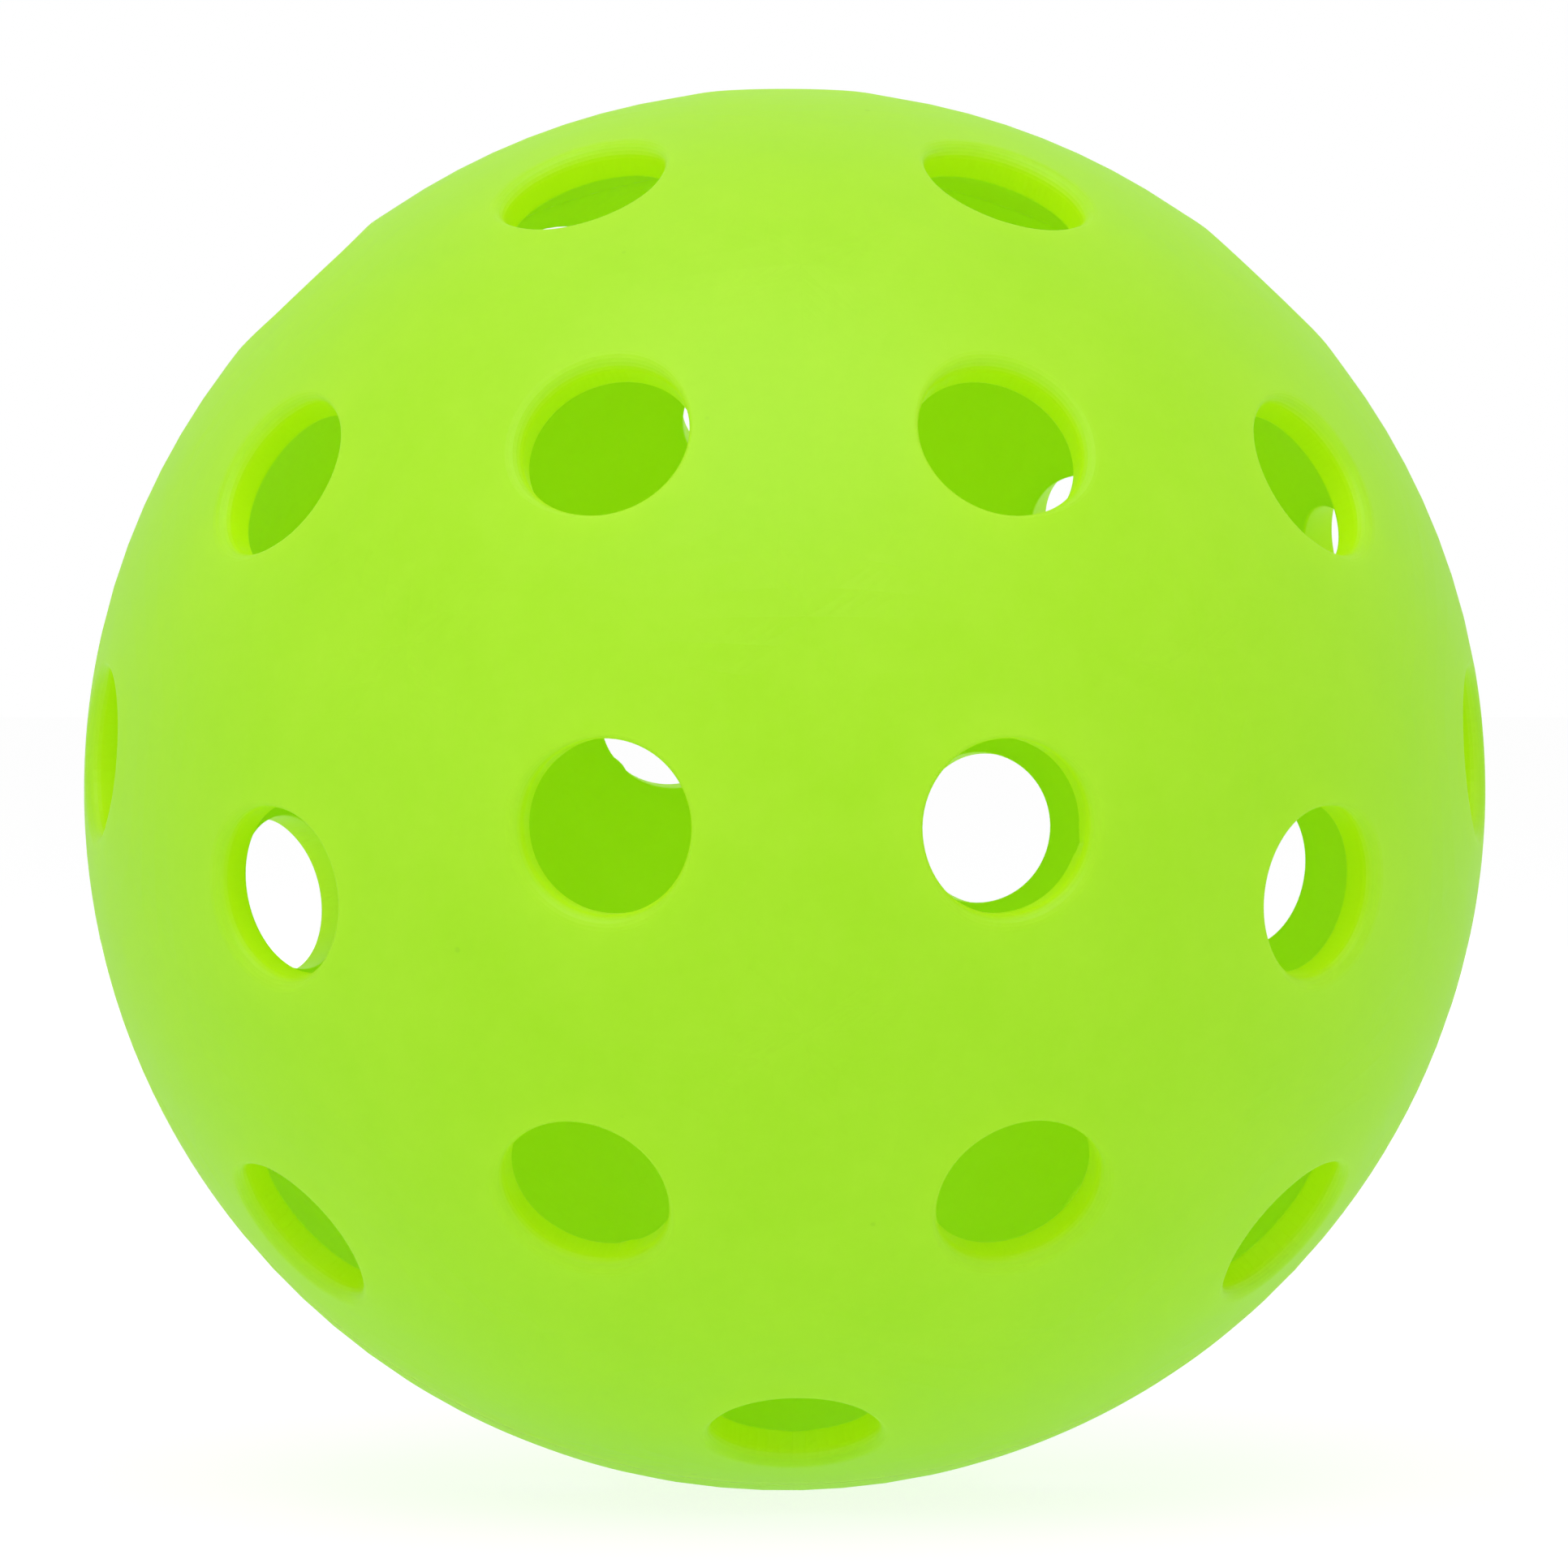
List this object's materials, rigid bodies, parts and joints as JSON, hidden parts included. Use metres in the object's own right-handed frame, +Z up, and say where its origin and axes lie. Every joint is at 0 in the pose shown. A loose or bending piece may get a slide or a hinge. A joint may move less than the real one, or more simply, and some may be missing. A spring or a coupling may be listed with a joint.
{
  "type": "pickleball",
  "caption": "Hollow perforated plastic ball for an outdoor paddle sport, moulded as half shells with rounded hole edges that are lapped and welded at the equator.",
  "frame": {"origin": "centre of the ball", "axes": "+Z up through the middle of the tether hole; the front half's pole leans from -Y towards +Z by the rest of the outer ring's angle to a right angle; +X to the right of someone who looks at the front half"},
  "size_m": [0.074, 0.074, 0.0737],
  "materials": {
    "shell_plastic": "lime-green translucent polyethylene blend with a fine satin moulding texture",
    "weld_plastic": "the same plastic remelted, a little darker and smoother"
  },
  "bodies": {
    "root": {"front_half_shell": "shell_plastic", "rear_half_shell": "shell_plastic", "weld_seam": "weld_plastic"}
  },
  "joints": []
}
